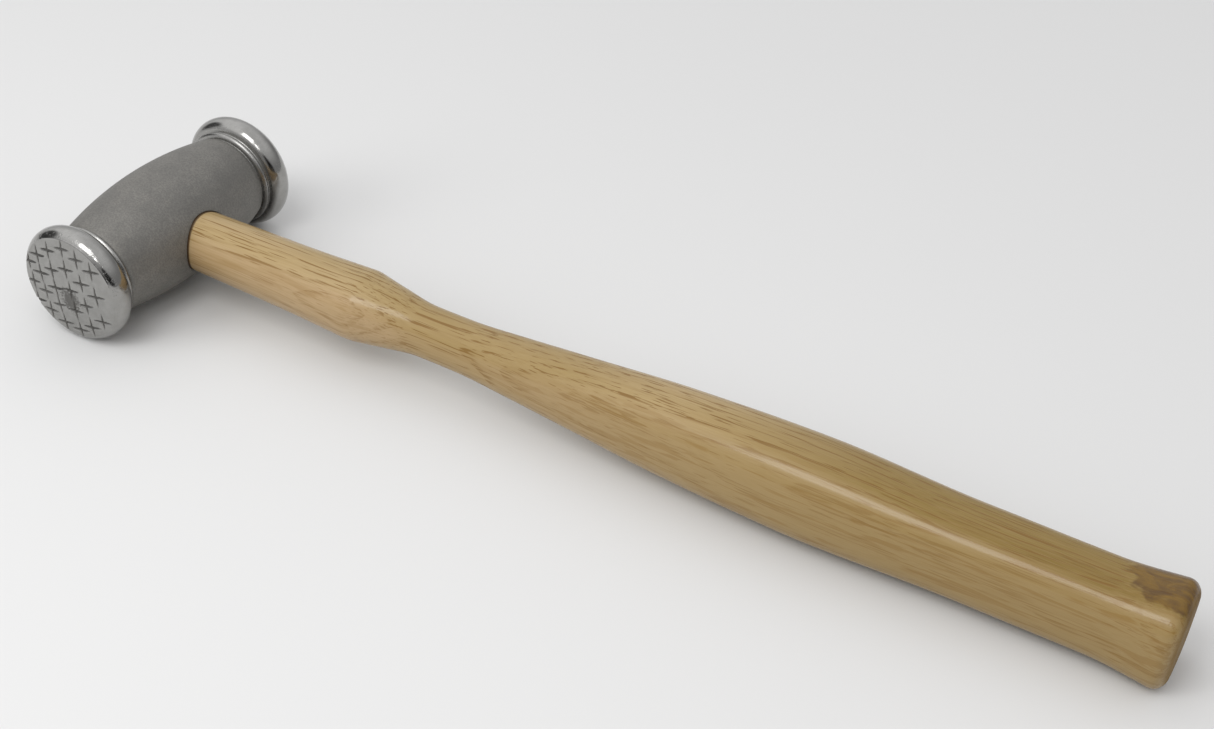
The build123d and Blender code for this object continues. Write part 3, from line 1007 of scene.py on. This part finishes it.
def lacquered_oak():
    """Pale ring-porous oak under clear satin lacquer, with a dark knot patch at the butt; the grip's
    darker tone, the flanks' tone, the end's tone and the dark line at the head are painted light and
    shade.
    """
    r = paint("lacquered_oak")
    at = r.place()
    x, y, z = r.split(at)
    phase = r.maths("FRACT", oak_rings(r, at))
    early = r.times(r.step(phase, 0.0, 0.06), r.step(phase, 0.42, 0.16))
    fibre = r.noise(r.stretched(at, 0.05, 2.6, 2.6), 1.0, 3.0, 0.65)
    fine_fibre = r.noise(r.stretched(at, 0.12, 7.0, 7.0), 1.0, 2.0, 0.6)
    cloud = r.noise(r.stretched(at, 0.018, 0.1, 0.1), 1.0, 2.0)
    flame = r.noise(r.stretched(at, 0.05, 0.85, 0.85), 1.0, 2.0, 0.5, 0.7)
    on_flank = r.step(r.maths("ABSOLUTE", y), 4.0, 6.6)
    rows = r.times(dashes(r, at, 16.0, 0.33, 0.51, 1.0), early)
    lone = dashes(r, at, 12.0, 0.3, 0.64, 2.0)
    pores = r.times(r.maths("MAXIMUM", rows, lone), r.spread(on_flank, 1.0, 0.42))
    shaft_tone = r.mix(r.step(cloud, 0.35, 0.65), (0.39, 0.275, 0.11), (0.42, 0.3, 0.14))
    # the grip's darker tone is painted shade, for light that falls off towards the butt
    shaded_grip_tone = r.mix(r.step(cloud, 0.35, 0.65), (0.2, 0.122, 0.014), (0.232, 0.149, 0.025))
    tone = r.mix(r.step(x, *GRIP_SHADE_SPAN), shaft_tone, shaded_grip_tone)
    # the neck made darker between these x
    neck_darkening = r.times(r.step(x, *NECK_SHADE_START), r.step(x, *NECK_SHADE_END))
    tone = r.over(tone, neck_darkening, 0.6, (0.28, 0.185, 0.05))
    # the flanks painted lighter than the top, as painted light, and darker towards the butt, as
    # painted shade
    painted_flank_tone = r.mix(r.step(x, *FLANK_SHADE_SPAN), (0.43, 0.295, 0.155), (0.33, 0.225, 0.088))
    tone = r.mix(r.spread(on_flank, 0.0, 0.85), tone, painted_flank_tone)
    ring_share = r.times(r.spread(early, 0.0, 0.25), r.spread(on_flank, 1.0, 0.6))
    tone = r.mix(ring_share, tone, (0.26, 0.16, 0.045))
    tone = r.over(tone, r.step(fibre, 0.35, 0.7), 0.3, (0.28, 0.18, 0.06))
    tone = r.over(tone, r.step(fine_fibre, 0.4, 0.7), 0.15, (0.45, 0.33, 0.16))
    flamed = r.times(r.step(flame, 0.53, 0.61), r.spread(on_flank, 0.25, 1.0))
    flamed = r.times(flamed, r.spread(r.step(x, *STREAK_SPAN), 0.22, 0.45))
    tone = r.mix(flamed, tone, (0.235, 0.125, 0.02))
    tone = r.over(tone, pores, 0.8, (0.185, 0.088, 0.008))
    burl = r.noise(r.stretched(at, 0.16, 0.3, 0.3), 1.0, 4.0, 0.6, 0.8)
    burl_tone = r.mix(r.step(burl, 0.35, 0.65), (0.085, 0.037, 0.002), (0.18, 0.093, 0.002))
    tone = r.over(tone, knot_patch(r, at), 0.9, burl_tone)
    # painted shade where the wood goes into the head
    tone = r.over(tone, painted_shade_at_eye(r, x, y, z), 0.9, (0.05, 0.025, 0.01))
    # the butt's end grain, bare and rougher; its colour is kept light as painted light, for the shade
    # where it faces away from the lamps
    at_end = r.step(x, BUTT_X - 0.9, BUTT_X - 0.2)
    tone = r.over(tone, at_end, 0.7, (0.21, 0.128, 0.04))
    rough = r.add(r.spread(fibre, 0.38, 0.52), r.times(pores, 0.2))
    rough = r.add(rough, r.times(at_end, 0.25))
    skin = r.bump(r.maths("SUBTRACT", 1.0, pores), 0.025)
    skin = r.bump(fibre, 0.01, skin)
    r.shade(base_color=tone, roughness=rough, normal=skin, coat_weight=r.spread(at_end, 0.6, 0.05),
            coat_roughness=0.14, coat_ior=1.5, specular_ior_level=0.2)
    return r.owner


def knot_patch(r, at):
    """1 inside the dark patch at the butt's upper far corner."""
    spans = zip(r.split(at), KNOT_CENTRE, KNOT_RADII)
    far = r.length(*[r.away(value, centre, radius) for value, centre, radius in spans])
    ragged = r.noise(r.stretched(at, 0.25, 0.5, 0.5), 1.0, 3.0)
    far = r.add(far, r.times(r.maths("SUBTRACT", ragged, 0.5), 0.6))
    return r.step(far, 1.06, 0.94)


def painted_shade_at_eye(r, x, y, z):
    """1 on the wood close to where it enters the head: painted shade of the narrow gap there."""
    share = r.maths("DIVIDE", y, BARREL_END_Y)
    fall = r.times(r.times(share, share), BARREL_RADIUS - BARREL_END_RADIUS)
    height = r.maths("SUBTRACT", r.add(r.length(x, z), fall), BARREL_RADIUS)
    return r.times(r.step(height, 0.5, 0.15), r.step(x, 0.0, 5.0))


def wedge_wood():
    """Darker close-grained hardwood, its sanded end grain under the same lacquer."""
    r = paint("wedge_wood")
    at = r.place()
    bands = r.noise(r.stretched(at, 0.05, 0.3, 2.4), 1.0, 3.0)
    specks = dashes(r, at, 5.0, 0.4, 0.6, 4.0)
    tone = r.mix(r.step(bands, 0.35, 0.65), (0.2, 0.115, 0.055), (0.28, 0.17, 0.085))
    tone = r.over(tone, specks, 0.7, (0.08, 0.04, 0.016))
    rough = r.spread(bands, 0.4, 0.55)
    skin = r.bump(r.maths("SUBTRACT", 1.0, specks), 0.03)
    r.shade(base_color=tone, roughness=rough, normal=skin, coat_weight=0.4, coat_roughness=0.2)
    return r.owner


def wedge_steel():
    """Dull ground mild steel with a little brown tarnish."""
    r = paint("wedge_steel")
    at = r.place()
    ground = r.noise(r.stretched(at, 1.0, 6.0, 0.5), 1.0, 3.0, 0.7)
    tarnish = r.noise(at, 0.7, 3.0, 0.6)
    tone = r.mix(ground, (0.22, 0.216, 0.208), (0.34, 0.333, 0.32))
    tone = r.over(tone, r.step(tarnish, 0.5, 0.72), 0.6, (0.12, 0.075, 0.05))
    rough = r.spread(tarnish, 0.32, 0.6)
    skin = r.bump(ground, 0.02)
    r.shade(base_color=tone, metallic=0.9, roughness=rough, normal=skin)
    return r.owner


def floor_paint():
    """Matt pale studio surface with the slightest unevenness."""
    r = paint("floor_paint")
    where = r.node("TexCoord", {}).outputs["Object"]
    cloud = r.noise(where, 3.0, 2.0)
    tone = r.mix(cloud, (0.7, 0.7, 0.695), (0.72, 0.72, 0.715))
    r.shade(base_color=tone, roughness=0.9, specular_ior_level=0.1)
    return r.owner


# ---------------------------------------------------------------- studio

# the camera, fitted to the outline of the hammer in the photo: metres, degrees, and a lens in mm
CAMERA_AT = Vector((0.1387, -0.2598, 0.2459))
CAMERA_AIM = Vector((-0.0030, 0.0130, 0.0100))
CAMERA_ROLL = 3.40
CAMERA_LENS = 55.8

FLOOR_RADIUS = 4.0                  # metres
DARK_GAPS = [                       # direction, and how many degrees it reaches to every side
    ((0.77, -0.58, 0.05), 24),
    ((0.66, -0.68, 0.32), 15),
    ((-0.94, -0.16, 0.28), 25),
]


def make_camera():
    data = bpy.data.cameras.new("camera")
    data.lens = CAMERA_LENS
    data.sensor_width = 36
    data.clip_start = 0.01
    data.clip_end = 50
    camera = bpy.data.objects.new("camera", data)
    bpy.context.scene.collection.objects.link(camera)
    look = (CAMERA_AIM - CAMERA_AT).to_track_quat("-Z", "Y").to_matrix().to_4x4()
    roll = Matrix.Rotation(math.radians(CAMERA_ROLL), 4, "Z")
    camera.matrix_world = Matrix.Translation(CAMERA_AT) @ look @ roll
    bpy.context.scene.camera = camera


def soft_box(name, place, aim, size, brightness):
    """A rectangular lamp at a place, turned towards what it lights."""
    data = bpy.data.lights.new(name, "AREA")
    data.shape = "RECTANGLE"
    data.size, data.size_y = size
    data.energy = brightness * math.pi * size[0] * size[1]
    lamp = bpy.data.objects.new(name, data)
    bpy.context.scene.collection.objects.link(lamp)
    lamp.location = place
    lamp.rotation_euler = (Vector(aim) - Vector(place)).to_track_quat("-Z", "Y").to_euler()
    return lamp


def lobe(r, direction, towards, inner, outer):
    """1 in the sky close to a direction and 0 beyond: inner and outer are angles in degrees."""
    unit = Vector(towards).normalized()
    facing = r.node("VectorMath", {0: direction, 1: unit}, operation="DOT_PRODUCT").outputs["Value"]
    return r.step(facing, math.cos(math.radians(outer)), math.cos(math.radians(inner)))


def make_sky():
    """A light tent: brightest above and to the left, with three dark gaps towards the horizon."""
    r = Recipe(bpy.data.worlds.new("light_tent"))
    direction = r.node("TexCoord", {}).outputs["Generated"]
    _, _, z = r.split(direction)
    light = r.spread(r.step(z, 0.15, 0.9), 0.36, 0.9)
    light = r.add(light, r.times(lobe(r, direction, (-0.75, -0.35, 0.6), 15, 65), 0.3))
    light = r.add(light, r.times(lobe(r, direction, (-0.7, 0.7, 0.15), 15, 55), 0.3))
    for towards, reach in DARK_GAPS:
        light = r.times(light, r.spread(lobe(r, direction, towards, reach / 2, reach), 1.0, 0.12))
    colour = r.joined(light, light, r.times(light, 1.01))
    r.feed(r.tree.nodes["Background"].inputs["Color"], colour)
    bpy.context.scene.world = r.owner


def make_floor():
    shape = bmesh.new()
    bmesh.ops.create_circle(shape, cap_ends=True, radius=FLOOR_RADIUS, segments=96)
    mesh = bpy.data.meshes.new("floor")
    shape.to_mesh(mesh)
    shape.free()
    mesh.materials.append(floor_paint())
    floor = bpy.data.objects.new("floor", mesh)
    bpy.context.scene.collection.objects.link(floor)
    floor.location.z = cad_low.z


# ---------------------------------------------------------------- the hammer

def mount(piece, node):
    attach(piece, "root")
    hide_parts(node)


head = make_head(blasted_steel(), polished_steel())
handle = make_handle(lacquered_oak())
cut_out(handle, wood_slot())
cut_out(handle, steel_slot())
sharpen(handle, 40)
wood_wedge = make_wood_wedge(wedge_wood())
cut_out(wood_wedge, steel_slot())
sharpen(wood_wedge, 40)
steel_wedge = make_steel_wedge(wedge_steel())

mount(head, "head")
mount(handle, "handle")
mount(wood_wedge, "wood_wedge")
mount(steel_wedge, "steel_wedge")

make_camera()
make_floor()
make_sky()
soft_box("grip_lamp", (-0.066, -0.35, 0.6), aim=(0.02, 0, 0.01), size=(0.27, 0.3), brightness=4.0)
soft_box("rim_lamp", (0.2, -0.5, 0.6), aim=(-0.1, -0.03, 0.01), size=(0.11, 0.14), brightness=5.5)
bounce = soft_box("front_bounce", (-0.35, -0.42, 0.3), aim=(-0.06, 0, 0.01), size=(0.3, 0.3),
                  brightness=3.2)
bounce.visible_glossy = False
bpy.context.scene.view_settings.view_transform = "Standard"
